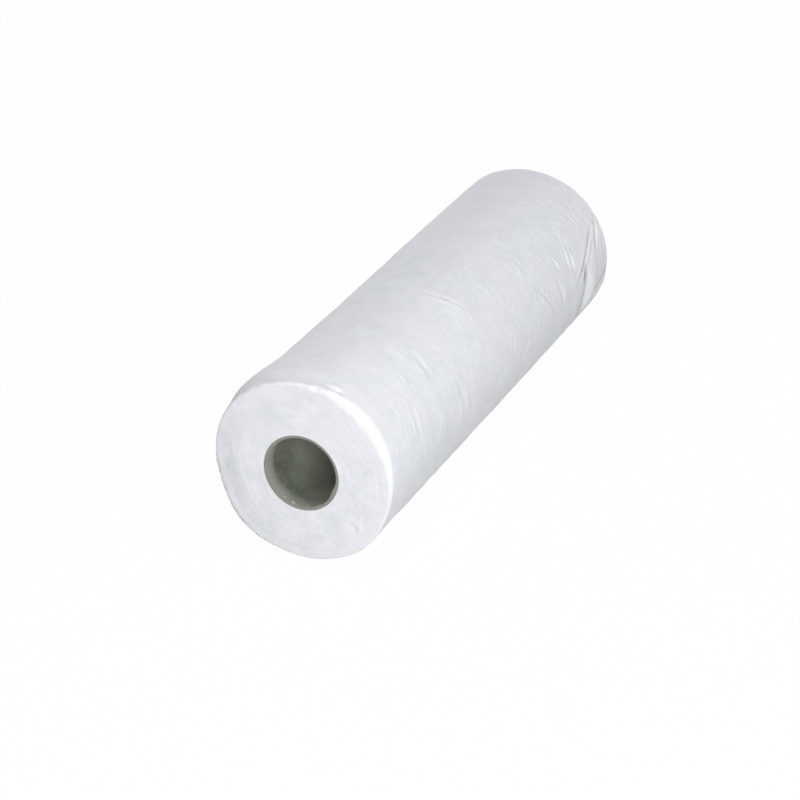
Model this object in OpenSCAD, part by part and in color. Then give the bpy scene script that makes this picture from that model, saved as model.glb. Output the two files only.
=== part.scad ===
// Paper roll for covering an examination table: one long paper sheet wound on a board core.
// The roll lies on its side, as it comes to rest. Its axis runs along X, and the end that
// faces -X is the near end. Angles round the axis start at +Y, the back, and grow towards +Z.

/* [Roll] */
// Width of the sheet, which is the length of the roll
roll_length = 400; // [340:5:600]
// Diameter over the turns
roll_diameter = 120; // [100:1:170]
// Width of the flat spot that the soft roll lies on
flat_width = 22; // [20:1:26]
// Step along the roll where the sheet's free end lies
tail_step = 0.5; // [0.3:0.1:1]
// Direction of the free end, low down at the back
tail_angle = 333; // [306:9:351]

/* [Core] */
// Inside diameter of the board core
core_bore = 46; // [38:1:52]
// Wall of the board core
core_wall = 2; // [1:0.1:2.5]
// Distance of the core's ends in from the end faces of the roll
core_recess = 0.5; // [0.5:0.1:3]
// Rounding of the core's lip
core_lip = 0.4; // [0.2:0.1:0.45]
// How far the core has sunk below the middle of the soft turns
core_drop = 1.2; // [0:0.1:1.5]

/* [End faces] */
// Turns that stand out from their neighbours on an end face
face_turns = 7; // [4:1:8]
// Height of a turn's raised edge
face_relief = 0.4; // [0.1:0.1:1]
// How far the end faces fall back towards the edge on the side of the back
face_fall = 2; // [0:0.5:3]
// Rounding of the outer edge where it is tightest
rim_round_tight = 2.5; // [1.5:0.5:4]
// Rounding of the outer edge where it is softest
rim_round_soft = 7; // [5:0.5:8]
// Raggedness of the outer edge
rim_ragged = 0.5; // [0:0.1:0.8]

/* [Outer turn] */
// Depth of the folds round the far end
fold_depth = 2; // [0.4:0.1:2.5]
// Depth of the creases along the front
crease_depth = 0.9; // [0.2:0.1:1.2]
// Depth of the small wrinkles on the front
wrinkle_depth = 0.5; // [0.1:0.05:1]
// Height of the slack shoulder along the top of the back
shoulder_rise = 3; // [0:0.5:4]
// How far the near end draws in at the back
near_slim = 2.8; // [0:0.2:4]

/* [Hidden] */

roll_radius = roll_diameter / 2;
bore_radius = core_bore / 2;
hole_radius = bore_radius + core_wall;
axis_height = sqrt(roll_radius ^ 2 - (flat_width / 2) ^ 2);
bottom_angle = 270;
flat_half_angle = asin(flat_width / 2 / roll_radius);
seed = 41;

// Columns of points round the axis, from the free end of the sheet once round to it again
columns = 40;
column_step = 360 / columns;

// Rings of points on an end face, two to a turn, with one more turn hidden inside the hole
face_rings = 2 * face_turns + 2;
rim_steps = 3;

// Stations along the outer turn: coarse along the roll, fine where the far end is folded
folded_length = 65;
coarse_strips = 72;
fine_strips = 24;
skin_near = -roll_length / 2 + rim_round_soft + 1.5;
skin_fine = roll_length / 2 - folded_length;
skin_far = roll_length / 2 - rim_round_soft - 1.5;
stations = [
    for (s = [0 : coarse_strips]) skin_near + (skin_fine - skin_near) * s / coarse_strips,
    for (s = [1 : fine_strips]) skin_fine + (skin_far - skin_fine) * s / fine_strips
];

skin_first = face_rings + rim_steps + 1;
skin_last = skin_first + len(stations) - 1;
ring_last = skin_last + rim_steps + 1 + face_rings;
ring_count = ring_last + 1;
far_edge = ring_last - face_rings;

// Folds and creases: distance from the far end, direction, reach round the roll in degrees,
// slant in mm per degree, width in mm, and depth, which is negative for a raised one
folds = [
    [38, 163, 18, -1.75, 4.5, 0.7 * fold_depth],
    [57, 188, 26, 0.05, 3.6, 1.2 * fold_depth],
    [44, 186, 18, -0.1, 4, -0.5 * fold_depth],
    [13, 155, 12, -0.8, 3, 0.4 * fold_depth],
    [30, 171, 11, 0.1, 3, 0.4 * fold_depth],
    [20, 193, 14, -1.05, 3.5, 0.6 * fold_depth],
    [64, 159, 11, 0, 3.2, -0.5 * crease_depth],
    [74, 153, 9, -0.2, 3.6, 0.7 * crease_depth],
    [90, 152, 10, 0.45, 3.6, -0.5 * crease_depth],
    [97, 170, 14, 0.3, 4, 0.8 * crease_depth],
    [121, 167, 18, 1, 4.5, crease_depth],
    [188, 130, 16, 0, 4, 0.6 * crease_depth],
    [236, 117, 22, 0.5, 4, 0.6 * crease_depth],
    [313, 137, 16, 0, 4.5, 0.8 * crease_depth],
    [282, 172, 20, 0.2, 5, 0.8 * crease_depth],
    [352, 160, 18, -0.1, 5, 0.6 * crease_depth],
    [20, 20, 28, 0.2, 5, 0.4 * fold_depth],
    [14, 320, 24, -0.2, 4, 0.4 * fold_depth]
];

// Difference between two directions, from 0 to 180 degrees
function apart(a, b) = abs((a - b + 540) % 360 - 180);

// Difference between two directions with its sign, from -180 to 180 degrees
function turn_from(a, b) = (a - b + 540) % 360 - 180;

// A smooth hump, 1 in the middle and 0 from reach outwards
function hump(distance, reach) = abs(distance) < reach ? cos(90 * distance / reach) ^ 2 : 0;

// A smooth step from 0 at low to 1 at high
function ease(value, low, high) =
    let (t = min(max((value - low) / (high - low), 0), 1)) t * t * (3 - 2 * t);

// Direction of a column
function direction(column) = (tail_angle + column * column_step) % 360;

// Rounding of the outer edge in one direction: the near end's is softest in front of the top
rim_soft_angle = 152;
rim_soft_reach = 75;
rim_noise = rands(-1, 1, columns, seed);
function softness(column, x_end) =
    x_end < 0 ? hump(turn_from(direction(column), rim_soft_angle), rim_soft_reach) : 0;
function rim_round(column, x_end) =
    rim_round_tight
    + (rim_round_soft - rim_round_tight) * softness(column, x_end)
    + rim_ragged * rim_noise[column % columns];

// Cross-section of a fold: a valley with a soft ridge along each side
function valley(q) = (1 - q ^ 2) * exp(-q ^ 2 / 2);

function fold_push(fold, from_far, angle) =
    let (
        along = turn_from(angle, fold[1]),
        across = (from_far - fold[0] + fold[3] * along) / fold[4]
    )
    abs(along) < fold[2] && abs(across) < 4 ? -fold[5] * hump(along, fold[2]) * valley(across) : 0;

ones = [for (fold = folds) 1];
function folds_push(x, angle) =
    [for (fold = folds) fold_push(fold, roll_length / 2 - x, angle)] * ones;

// The slack shoulder of the back, which grows towards the far end and flares by the near end
shoulder_angle = 38;
shoulder_reach = 62;
shoulder_least = 0.15;
shoulder_growth = 0.9;
growth_from = 0.2;
growth_to = 0.85;
flare = 0.7;
flare_place = 0.05;
flare_reach = 0.12;
function shoulder(along, angle) =
    shoulder_rise * hump(turn_from(angle, shoulder_angle), shoulder_reach)
    * (shoulder_least + shoulder_growth * ease(along, growth_from, growth_to)
        + flare * hump(along - flare_place, flare_reach));

// The last stretch before the near end, where the turns draw in at the back and below
slim_length = 15;
slim_reach = 105;
slim_below = 1.1;
slim_below_angle = 300;
slim_below_reach = 80;
function slimming(x, angle) =
    let (past_rim = x + roll_length / 2 - rim_round_soft)
    (1 - ease(past_rim, 0, slim_length))
    * (near_slim * hump(turn_from(angle, shoulder_angle), slim_reach)
        + slim_below * hump(turn_from(angle, slim_below_angle), slim_below_reach));

// The flanks that sag beside the flat spot
back_sag = 1.2;
front_sag = 0.8;
sag_from_bottom = 42;
sag_reach = 31;
function sagging(angle) =
    back_sag * hump(turn_from(angle, bottom_angle + sag_from_bottom), sag_reach)
    + front_sag * hump(turn_from(angle, bottom_angle - sag_from_bottom), sag_reach);

// A slow unevenness all round, which leaves the flat spot alone
uneven = 0.4;
uneven_waves = 3;
uneven_twist = 220;
uneven_free = 60;
function unevenness(along, angle) =
    uneven * sin(uneven_waves * angle + uneven_twist * along)
    * (1 - hump(turn_from(angle, bottom_angle), uneven_free));

function swelling(x, angle) =
    let (along = x / roll_length + 0.5)
    shoulder(along, angle) - slimming(x, angle) + sagging(angle) + unevenness(along, angle);

// Small wrinkles run round the roll, one to every second station, most of them on the front.
// Each is a soft stroke that fades out where the noise of its column and the two beside it
// is low. Behind each valley lies a lower ridge.
wrinkle_angle = 178;
wrinkle_reach = 75;
wrinkle_elsewhere = 0.2;
wrinkle_free = 45;
wrinkle_ridge = 0.5;
stroke_start = 1.5;
wrinkle_noise = rands(0, 1, len(stations) * columns, seed + 1);
function noise_at(station, column) =
    wrinkle_noise[station * columns + (column + columns) % columns];
function stroke(station, column) =
    let (
        blend = noise_at(station, column - 1) + 2 * noise_at(station, column)
            + noise_at(station, column + 1)
    )
    max(blend - stroke_start, 0);
function wrinkle(station, column) =
    let (
        angle = direction(column),
        front = hump(turn_from(angle, wrinkle_angle), wrinkle_reach),
        on_front = wrinkle_elsewhere + (1 - wrinkle_elsewhere) * front,
        off_floor = 1 - hump(turn_from(angle, bottom_angle), wrinkle_free),
        lift = station % 2 == 1 ? -1 : wrinkle_ridge
    )
    lift * wrinkle_depth * on_front * off_floor * stroke(station, column);

// Radius of the wound sheet before any fold, one step larger after each full turn
function wound_radius(column) = roll_radius - tail_step + tail_step * column / columns;

function skin_radius(x, column) =
    wound_radius(column)
    + folds_push(x, direction(column))
    + swelling(x, direction(column));

// How far a ring of the end face has come on its way out, in rings. The even rings lie low and
// the odd ones high and near the next even one. Each ring runs once round and meets the next
// but one.
ring_lean = 0.6;
function face_travel(ring, column) =
    let (round_part = column / columns)
    ring == face_rings ? face_rings
    : ring == face_rings - 1 ? ring + ring_lean + (1 - ring_lean) * round_part
    : ring + (ring % 2) * ring_lean + 2 * round_part;

// The innermost turn is hidden inside the hole
hidden_turns = 1.15;
turn_pitch = (roll_radius - rim_round_soft - hole_radius) / face_turns;
face_start = hole_radius - hidden_turns * turn_pitch;
relief_noise = rands(0.45, 1, ring_count * columns, seed + 2);

// Distance that an end face has fallen back, growing towards its edge
fall_angle = 345;
fall_reach = 80;
fall_start = 0.4;
function fall(column, out) =
    face_fall * hump(turn_from(direction(column), fall_angle), fall_reach)
    * ease(out, fall_start, 1);

// Place of a point as distance in from the end, and radius
function face_place(ring, column, x_end) =
    let (
        edge = skin_radius(x_end, column) - rim_round(column, x_end),
        out = face_travel(ring, column) / face_rings,
        height = (ring % 2 == 1 && ring > 2) ? relief_noise[ring * columns + column % columns] : 0
    )
    [face_relief * (1 - height) + fall(column, out), face_start + (edge - face_start) * out];

function rim_place(step, column, x_end) =
    let (
        angle = 90 * step / (rim_steps + 1),
        round_here = rim_round(column, x_end)
    )
    [
        face_relief + fall(column, 1) + round_here * (1 - cos(angle)),
        skin_radius(x_end, column) - round_here * (1 - sin(angle))
    ];

function end_place(ring, column, x_end) =
    ring <= face_rings
    ? face_place(ring, column, x_end)
    : rim_place(ring - face_rings, column, x_end);

// Place of a point on any ring, as x and radius
function ring_place(ring, column) =
    ring < skin_first
    ? let (place = end_place(ring, column, -roll_length / 2 + rim_round_soft))
        [-roll_length / 2 + place[0], place[1]]
    : ring > skin_last
    ? let (place = end_place(ring_last - ring, column, roll_length / 2 - rim_round_soft))
        [roll_length / 2 - place[0], place[1]]
    : let (station = ring - skin_first, x = stations[station])
        [x, skin_radius(x, column) + wrinkle(station, column)];

function point(ring, column) =
    let (
        place = ring_place(ring, column),
        angle = direction(column),
        height = axis_height + place[1] * sin(angle),
        pressed = apart(angle, bottom_angle) <= flat_half_angle && ring > face_rings + 1
            && ring < far_edge - 1
    )
    [place[0], place[1] * cos(angle), pressed ? 0 : max(height, 0)];

// Number of a point. The last column is a new one on the outer turn only: on an end face each
// ring runs on into the next but one.
function number(ring, column) =
    column < columns ? ring * columns + column
    : ring < face_rings - 1 ? (ring + 2) * columns
    : ring == face_rings - 1 ? face_rings * columns
    : ring <= far_edge ? ring_count * columns + ring - face_rings
    : ring == far_edge + 1 ? far_edge * columns
    : (ring - 2) * columns;

near_centre = ring_count * columns + far_edge - face_rings + 1;
far_centre = near_centre + 1;

points = [
    for (ring = [0 : ring_last]) for (column = [0 : columns - 1]) point(ring, column),
    for (ring = [face_rings : far_edge]) point(ring, columns),
    [-roll_length / 2 + face_relief, 0, axis_height],
    [roll_length / 2 - face_relief, 0, axis_height]
];

// A four-sided patch as two triangles, cut along one diagonal or the other
function patch(a, b, c, d, odd) = odd ? [[a, c, b], [a, d, c]] : [[a, d, b], [b, d, c]];

function whole(face) = face[0] != face[1] && face[1] != face[2] && face[2] != face[0];

// The hub of an end face, out to its first ring, which ends one turn further out than it starts
function hub(centre, first, second, third) = concat(
    [for (column = [0 : columns - 2]) [centre, first + column, first + column + 1]],
    [
        [first + columns - 1, third, second],
        [first + columns - 1, second, first],
        [first + columns - 1, first, centre]
    ]
);

function turned(faces) = [for (face = faces) [face[0], face[2], face[1]]];

surface_faces = [
    for (ring = [0 : ring_last - 1]) for (column = [0 : columns - 1])
        for (face = patch(
            number(ring, column), number(ring, column + 1),
            number(ring + 1, column + 1), number(ring + 1, column), (ring + column) % 2 == 0
        )) if (whole(face)) face
];

tail_faces = [
    for (ring = [face_rings : far_edge - 1])
        for (face = patch(
            number(ring, columns), number(ring, 0),
            number(ring + 1, 0), number(ring + 1, columns), false
        )) face
];

module wound_sheet() {
    polyhedron(
        points = points,
        faces = concat(
            surface_faces,
            tail_faces,
            hub(near_centre, 0, columns, 2 * columns),
            turned(hub(far_centre, ring_last * columns, (ring_last - 1) * columns,
                (ring_last - 2) * columns))
        ),
        convexity = 8
    );
}

module along_core() {
    translate([0, 0, axis_height - core_drop]) rotate([0, 90, 0]) children();
}

module paper_roll() {
    color("ghostwhite") difference() {
        wound_sheet();
        along_core() cylinder(h = roll_length + 2, r = hole_radius, center = true, $fn = 96);
    }
}

module core() {
    half = roll_length / 2 - core_recess;
    color("tan") along_core() rotate_extrude($fn = 96) polygon([
        [bore_radius, -half + core_lip],
        [bore_radius + core_lip, -half],
        [hole_radius - core_lip, -half],
        [hole_radius, -half + core_lip],
        [hole_radius, half - core_lip],
        [hole_radius - core_lip, half],
        [bore_radius + core_lip, half],
        [bore_radius, half - core_lip]
    ]);
}

paper_roll();
core();
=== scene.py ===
"""Looks of an examination table's paper roll: a soft white sheet wound on a grey board core.

The roll lies on its side. X runs along its axis from the near end to the far end and Z is up.
Directions round the axis are in degrees, from the back (+Y) towards the top (+Z). Metres.
"""

import logging
import math
import random
from dataclasses import dataclass
from enum import Enum

import bmesh
import bpy
import numpy as np
from mathutils import Matrix, Vector, noise


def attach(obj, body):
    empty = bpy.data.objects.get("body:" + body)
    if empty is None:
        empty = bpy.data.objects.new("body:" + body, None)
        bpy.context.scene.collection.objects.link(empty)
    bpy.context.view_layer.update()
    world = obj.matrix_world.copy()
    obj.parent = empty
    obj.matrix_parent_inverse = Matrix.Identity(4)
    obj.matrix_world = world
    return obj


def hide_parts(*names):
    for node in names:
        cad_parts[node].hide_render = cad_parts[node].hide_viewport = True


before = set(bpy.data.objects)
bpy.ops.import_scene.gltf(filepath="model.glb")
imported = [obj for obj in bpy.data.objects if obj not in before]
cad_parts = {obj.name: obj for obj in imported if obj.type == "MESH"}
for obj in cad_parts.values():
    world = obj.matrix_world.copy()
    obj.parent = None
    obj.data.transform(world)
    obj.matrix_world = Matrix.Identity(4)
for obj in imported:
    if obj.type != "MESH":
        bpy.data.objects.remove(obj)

MM = 0.001
FULL_TURN = 360.0
BOTTOM = 270.0

log = logging.getLogger("paper_roll")


def turn_from(angle: np.ndarray, direction: float) -> np.ndarray:
    """Gives the turn from a direction to each angle, from -180 to 180 degrees.

    Args:
        angle: Directions round the axis.
        direction: The direction that counts as none.

    Returns:
        Signed turns in degrees.
    """
    return (angle - direction + 540.0) % FULL_TURN - 180.0


def hump(distance: np.ndarray, reach: float) -> np.ndarray:
    """Gives a smooth hump, 1 in the middle and 0 from the reach outwards.

    Args:
        distance: Signed distances from the middle.
        reach: Distance at which the hump ends.

    Returns:
        Values from 0 to 1.
    """
    share = np.clip(np.abs(distance) / reach, 0.0, 1.0)
    return np.cos(share * math.pi / 2) ** 2


def ease(value: np.ndarray, low: float, high: float) -> np.ndarray:
    """Gives a smooth step from 0 at low to 1 at high.

    Args:
        value: Values to step over.
        low: Where the step starts.
        high: Where the step ends.

    Returns:
        Values from 0 to 1.
    """
    share = np.clip((value - low) / (high - low), 0.0, 1.0)
    return share * share * (3.0 - 2.0 * share)


class Surface(Enum):
    """The paper's kinds of surface, by their place in the material slots."""

    OUTER_TURN = 0
    EDGES = 1
    RIM = 2


@dataclass(frozen=True)
class Fold:
    """A valley pressed into the outer turn, or a ridge where its depth is negative.

    Attributes:
        from_far: Distance of its middle from the far end, in mm.
        direction: Direction of its middle.
        reach: Turn from its middle to either end.
        slant: How it drifts towards the near end, in mm per degree.
        width: Half its width, in mm.
        depth: How deep it is, in mm.
        shade: How much darker its bottom is painted, as painted shade of the fold's hollow.
    """

    from_far: float
    direction: float
    reach: float
    slant: float
    width: float
    depth: float
    shade: float = 0.0

    def push(self, from_far: np.ndarray, angle: np.ndarray) -> np.ndarray:
        """Gives how far the fold moves each point out.

        Args:
            from_far: Distances from the far end, in mm.
            angle: Directions round the axis.

        Returns:
            Moves along the radius, in mm.
        """
        along = turn_from(angle, self.direction)
        across = (from_far - self.from_far + self.slant * along) / self.width
        valley = (1.0 - across**2) * np.exp(-(across**2) / 2.0)
        return -self.depth * hump(along, self.reach) * valley


# A fold's last number, where given, is the painted shade in its bottom
FOLDS = (
    Fold(41, 163, 18, -1.75, 4.4, 1.3, 0.32),
    Fold(33, 165, 17, -1.6, 6.0, 0.7),
    Fold(44.5, 190, 27, 0.05, 4.6, 3.4, 0.7),
    Fold(51, 190, 24, 0.0, 8.0, 1.6, 0.2),
    Fold(30, 187, 22, -0.1, 6.0, -1.6),
    Fold(15, 157, 15, -0.9, 2.8, 0.9, 0.3),
    Fold(9.5, 160, 13, -0.3, 1.8, -0.4),
    Fold(15, 197, 18, -1.0, 5.5, 0.7, 0.3),
    Fold(64, 159, 11, 0.0, 1.4, -0.8),
    Fold(68, 161, 10, 0.0, 1.5, 0.6),
    Fold(74, 153, 8, -0.2, 1.8, 0.8),
    Fold(90, 152, 8, 0.45, 1.3, -0.7),
    Fold(93, 152, 8, 0.45, 1.6, 0.5),
    Fold(97, 170, 14, 0.3, 2.6, 0.7),
    Fold(121, 167, 18, 1.0, 2.6, 0.8),
    Fold(118, 168, 16, 0.9, 2.0, -0.4),
    Fold(188, 130, 14, 0.0, 2.8, 0.2),
    Fold(236, 117, 20, 0.5, 2.0, 0.45),
    Fold(239, 116, 20, 0.5, 1.8, -0.3),
    Fold(313, 137, 14, 0.0, 3.0, 0.5),
    Fold(282, 172, 18, 0.2, 3.4, 0.6),
    Fold(352, 160, 16, -0.1, 3.0, 0.4),
    Fold(20, 20, 28, 0.2, 5.0, 0.8),
    Fold(14, 320, 24, -0.2, 4.0, 0.8),
)

# Two small dents right behind the near rim
RIM_DENTS = (
    Fold(393.5, 65, 6, 0.0, 2.2, 1.4),
    Fold(393.5, 110, 7, 0.0, 2.2, 1.3),
)


@dataclass(frozen=True)
class Tuft:
    """A speck of fluff that stands out of the near face.

    Attributes:
        radius: Distance from the axis, in mm.
        direction: Direction round the axis.
        width: Half its width, in mm.
        height: How far it stands out, in mm.
    """

    radius: float
    direction: float
    width: float
    height: float


TUFTS = (
    Tuft(49.5, 219.2, 1.1, 2.2),
    Tuft(46.4, 222.0, 1.4, -1.1),
    Tuft(44.0, 223.5, 1.2, -0.7),
    Tuft(52.5, 205.0, 0.9, 0.6),
    Tuft(50.5, 186.0, 0.8, 0.6),
    Tuft(30.0, 90.0, 0.8, 0.5),
    Tuft(30.5, 262.0, 1.3, 0.6),
    Tuft(33.5, 250.0, 1.1, 0.5),
)

@dataclass(frozen=True)
class Flake:
    """A frayed bit of board that sticks to the bore right behind the near mouth.

    Attributes:
        direction: Direction round the axis.
        depth: Distance in from the mouth, in mm.
        size: Half its length round the bore, in mm.
        height: Half its height towards the axis, in mm.
    """

    direction: float
    depth: float
    size: float
    height: float


FLAKES = (
    Flake(302.0, 2.4, 0.8, 0.8),
    Flake(287.0, 1.3, 1.6, 1.3),
    Flake(279.0, 0.9, 1.1, 1.1),
    Flake(263.0, 2.7, 0.8, 0.6),
    Flake(241.0, 0.8, 0.7, 0.6),
)


@dataclass(frozen=True)
class WrinkleField:
    """The many short wrinkles that run round the roll.

    Attributes:
        count: How many there are.
        seed: Start of the random numbers.
        front: Direction of the flank that has most of them.
        spread: Spread of their directions round the front, in degrees.
        short_share: Share of them that are short dents.
        loose_share: Share of them that lie anywhere round the roll.
        foot_gap: Turn on either side of the foot that has none, in degrees.
        fold_zone: Distance from the far end within which the big folds have the front alone, in mm.
        fold_front: First and last direction of that front.
    """

    count: int = 1300
    seed: int = 11
    front: float = 172.0
    spread: float = 34.0
    short_share: float = 0.7
    loose_share: float = 0.25
    foot_gap: float = 16.0
    fold_zone: float = 55.0
    fold_front: tuple[float, float] = (150.0, 215.0)

    def folds(self, length: float) -> list[Fold]:
        """Draws the wrinkles.

        Args:
            length: Length of the roll, in mm.

        Returns:
            The wrinkles as small folds.
        """
        draw = random.Random(self.seed)
        found = []
        for _ in range(self.count):
            loose = draw.random() < self.loose_share
            direction = draw.uniform(0.0, FULL_TURN) if loose else draw.gauss(self.front, self.spread)
            from_far = draw.uniform(6.0, length - 8.0)
            on_foot = abs(direction - BOTTOM) < self.foot_gap
            on_front = self.fold_front[0] < direction < self.fold_front[1]
            on_big_folds = from_far < self.fold_zone and on_front
            if on_foot or on_big_folds:
                continue
            strength = 0.3 if loose else min(1.1, 1.6 - 1.2 * from_far / length)
            short = draw.random() < self.short_share
            found.append(
                Fold(
                    from_far=from_far,
                    direction=direction % FULL_TURN,
                    reach=draw.uniform(1.8, 3.2) if short else draw.uniform(3.0, 7.0),
                    slant=draw.gauss(0.0, 0.9 if short else 0.45),
                    width=draw.uniform(1.3, 2.6) if short else draw.uniform(1.1, 1.7),
                    depth=strength * draw.choice((-1.0, 1.0)) * draw.uniform(0.06, 0.3),
                )
            )
        return found


@dataclass
class PaperRoll:
    """The wound sheet: two end faces with their turns, ragged rims, and the folded outer turn."""

    length: float = 400 * MM
    radius: float = 60 * MM
    hole_radius: float = 25 * MM
    core_drop: float = 1.2 * MM
    flat_width: float = 22 * MM
    tail_step: float = 0.5 * MM
    tail_direction: float = 333.0
    rim_tight: float = 1.9 * MM
    rim_soft: float = 6.5 * MM
    rim_front: float = 140.0
    rim_ragged: float = 2.1 * MM
    rim_least: float = 0.9 * MM
    ragged_top: float = 105.0
    face_turns: int = 7
    face_relief: float = 0.21 * MM
    face_fall: float = 2.5 * MM
    fall_start: float = 0.5
    fall_direction: float = 345.0
    fall_reach: float = 80.0
    back_direction: float = 38.0
    shoulder_rise: float = 3 * MM
    near_slim: float = 2.8 * MM
    slim_below: float = 1.1 * MM
    slim_length: float = 15 * MM
    undulation: float = 0.28 * MM
    columns: int = 240
    skin_cuts: int = 310
    face_cuts: int = 36
    rim_segments: int = 8
    seen_direction: float = 130.0
    front_gather: float = 0.35
    end_gather: float = 0.4
    wrinkles: WrinkleField = WrinkleField()

    @property
    def axis_height(self) -> float:
        """Height of the roll's axis over the surface that it lies on."""
        return math.sqrt(self.radius**2 - (self.flat_width / 2) ** 2)

    @property
    def core_centre(self) -> Vector:
        """Middle of the core, which has sunk a little below the roll's axis."""
        return Vector((0.0, 0.0, self.axis_height - self.core_drop))

    def build(self) -> bpy.types.Object:
        """Builds the wound sheet.

        Returns:
            The finished object, undressed.
        """
        bm = bmesh.new()
        self._draw_section(bm)
        self._spin_section(bm)
        self._shape(bm)
        bmesh.ops.recalc_face_normals(bm, faces=bm.faces)
        self._sort_surfaces(bm)
        return finished_object("wound_paper", bm)

    def _draw_section(self, bm: bmesh.types.BMesh) -> None:
        """Draws the outline that is spun: the section of the wound paper with rounded rims.

        Args:
            bm: An empty mesh, which gets the outline.
        """
        thickness = self.radius - self.hole_radius
        draw_wall(bm, self.length, self.hole_radius, thickness)
        middle = self.hole_radius + thickness / 2
        outer = [v for v in bm.verts if v.co.y > middle]
        bmesh.ops.bevel(
            bm, geom=outer, offset=self.rim_soft, segments=self.rim_segments, profile=0.5,
            affect="VERTICES", material=-1,
        )
        long_edge = self.length / 2
        for edge in list(bm.edges):
            across = edge.verts[0].co - edge.verts[1].co
            if abs(across.x) > long_edge:
                outside = edge.verts[0].co.y > middle
                bmesh.ops.subdivide_edges(bm, edges=[edge], cuts=self.skin_cuts if outside else 3)
            elif abs(across.x) < 1e-7 and abs(across.y) > thickness / 2:
                bmesh.ops.subdivide_edges(bm, edges=[edge], cuts=self.face_cuts)
        bmesh.ops.delete(bm, geom=list(bm.faces), context="FACES_ONLY")

    def _spin_section(self, bm: bmesh.types.BMesh) -> None:
        """Spins the outline once round the axis, starting at the sheet's free end.

        Args:
            bm: The mesh with the outline in the plane of X and Y.
        """
        centre = Vector((0.0, 0.0, self.axis_height))
        start = Matrix.Rotation(math.radians(self.tail_direction), 4, "X")
        bmesh.ops.transform(bm, matrix=Matrix.Translation(centre) @ start, verts=bm.verts)
        spin_round(bm, centre, self.columns)

    def _shape(self, bm: bmesh.types.BMesh) -> None:
        """Moves the spun section's points to their places on the real, soft roll.

        Args:
            bm: The spun mesh.
        """
        points = np.array([v.co for v in bm.verts])
        x = points[:, 0]
        y = points[:, 1]
        z = points[:, 2] - self.axis_height
        radius = np.hypot(y, z)
        angle = np.degrees(np.arctan2(z, y)) % FULL_TURN
        column = np.round((angle - self.tail_direction) % FULL_TURN / (FULL_TURN / self.columns))
        column = column.astype(int) % self.columns
        angle = self._column_direction(column)

        half = self.length / 2
        small = 1e-6
        side = np.where(x < 0, -1.0, 1.0)
        rim = self._rim_rounding(angle, side)
        skirt = np.clip(np.abs(x) - (half - self.rim_soft), 0.0, None)
        on_skin = (radius > self.radius - small) & (skirt < small)
        on_hole = (radius < self.hole_radius + small) & (np.abs(x) < half - small)
        on_face = (np.abs(x) > half - small) & (radius < self.radius - self.rim_soft + small)
        on_rim = ~(on_skin | on_hole | on_face)

        new_x = x.copy()
        new_radius = radius.copy()
        skin_end = half - self.rim_soft
        gathered = x + self.end_gather * skin_end / math.pi * np.sin(math.pi * x / skin_end)
        stretch = ease(np.abs(gathered), skin_end - 30 * MM, skin_end)
        new_x[on_skin] = (gathered + side * (self.rim_soft - rim) * stretch)[on_skin]
        skin_radius = self._skin_radius(new_x, angle, column, side, on_skin)
        new_radius[on_skin] = skin_radius[on_skin]

        edge_angle = np.arctan2(radius - (self.radius - self.rim_soft), skirt)
        fall = self.face_fall * hump(turn_from(angle, self.fall_direction), self.fall_reach)
        depth_here = self.face_relief + fall + rim * (1 - np.cos(edge_angle))
        new_x[on_rim] = (side * (half - depth_here))[on_rim]
        new_radius[on_rim] = (skin_radius - rim * (1 - np.sin(edge_angle)))[on_rim]

        out = (radius - self.hole_radius) / (self.radius - self.rim_soft - self.hole_radius)
        face_edge = skin_radius - rim
        face_radius = self.hole_radius + out * (face_edge - self.hole_radius)
        depth = self._face_depth(face_radius, face_edge, angle, column, side)
        fade = 1 - ease(out, 0.93, 1.0)
        depth = depth * fade + self.face_relief * (1 - fade) + fall * ease(out, self.fall_start, 1.0)
        new_x[on_face] = (side * (half - depth))[on_face]
        new_radius[on_face] = face_radius[on_face]

        angle = angle + self._tail_shift(column, new_x)
        turn = np.radians(angle)
        sunk = np.where(on_face, 1 - ease(out, 0.0, 0.6), on_hole.astype(float))
        middle = self.axis_height - self.core_drop * sunk
        height = np.maximum(middle + new_radius * np.sin(turn), 0.0)
        moved = np.column_stack([new_x, new_radius * np.cos(turn), height])
        for vert, place in zip(bm.verts, moved):
            vert.co = place

    def _column_direction(self, column: np.ndarray) -> np.ndarray:
        """Gives the directions of columns, which stand closer together on the front.

        Args:
            column: Numbers of the columns.

        Returns:
            Directions round the axis.
        """
        even = self.tail_direction + column * FULL_TURN / self.columns
        start = math.sin(math.radians(self.tail_direction - self.seen_direction))
        lean = np.sin(np.radians(even - self.seen_direction)) - start
        return (even - np.degrees(self.front_gather * lean)) % FULL_TURN

    def _rim_rounding(self, angle: np.ndarray, side: np.ndarray) -> np.ndarray:
        """Gives the ragged rounding of the rims, which is soft on the near end's front.

        Args:
            angle: Directions round the axis.
            side: -1 on the near half and 1 on the far half.

        Returns:
            The rounding's radius at each point.
        """
        turn = np.radians(angle)
        broad = 9.0
        fine = 34.0
        lumps = np.array(
            [
                noise.noise((a * broad, b * broad, s * 3.0))
                + 0.9 * noise.noise((a * fine, b * fine, s * 5.0))
                for a, b, s in zip(np.cos(turn), np.sin(turn), side)
            ]
        )
        everywhere = 0.15
        on_top = hump(turn_from(angle, self.ragged_top), 75.0)
        ragged = lumps * (everywhere + (1 - everywhere) * on_top)
        soft = hump(turn_from(angle, self.rim_front), 58.0) * (side < 0)
        rounding = self.rim_tight + (self.rim_soft - self.rim_tight) * soft
        return np.maximum(rounding + self.rim_ragged * ragged, self.rim_least)

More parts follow.
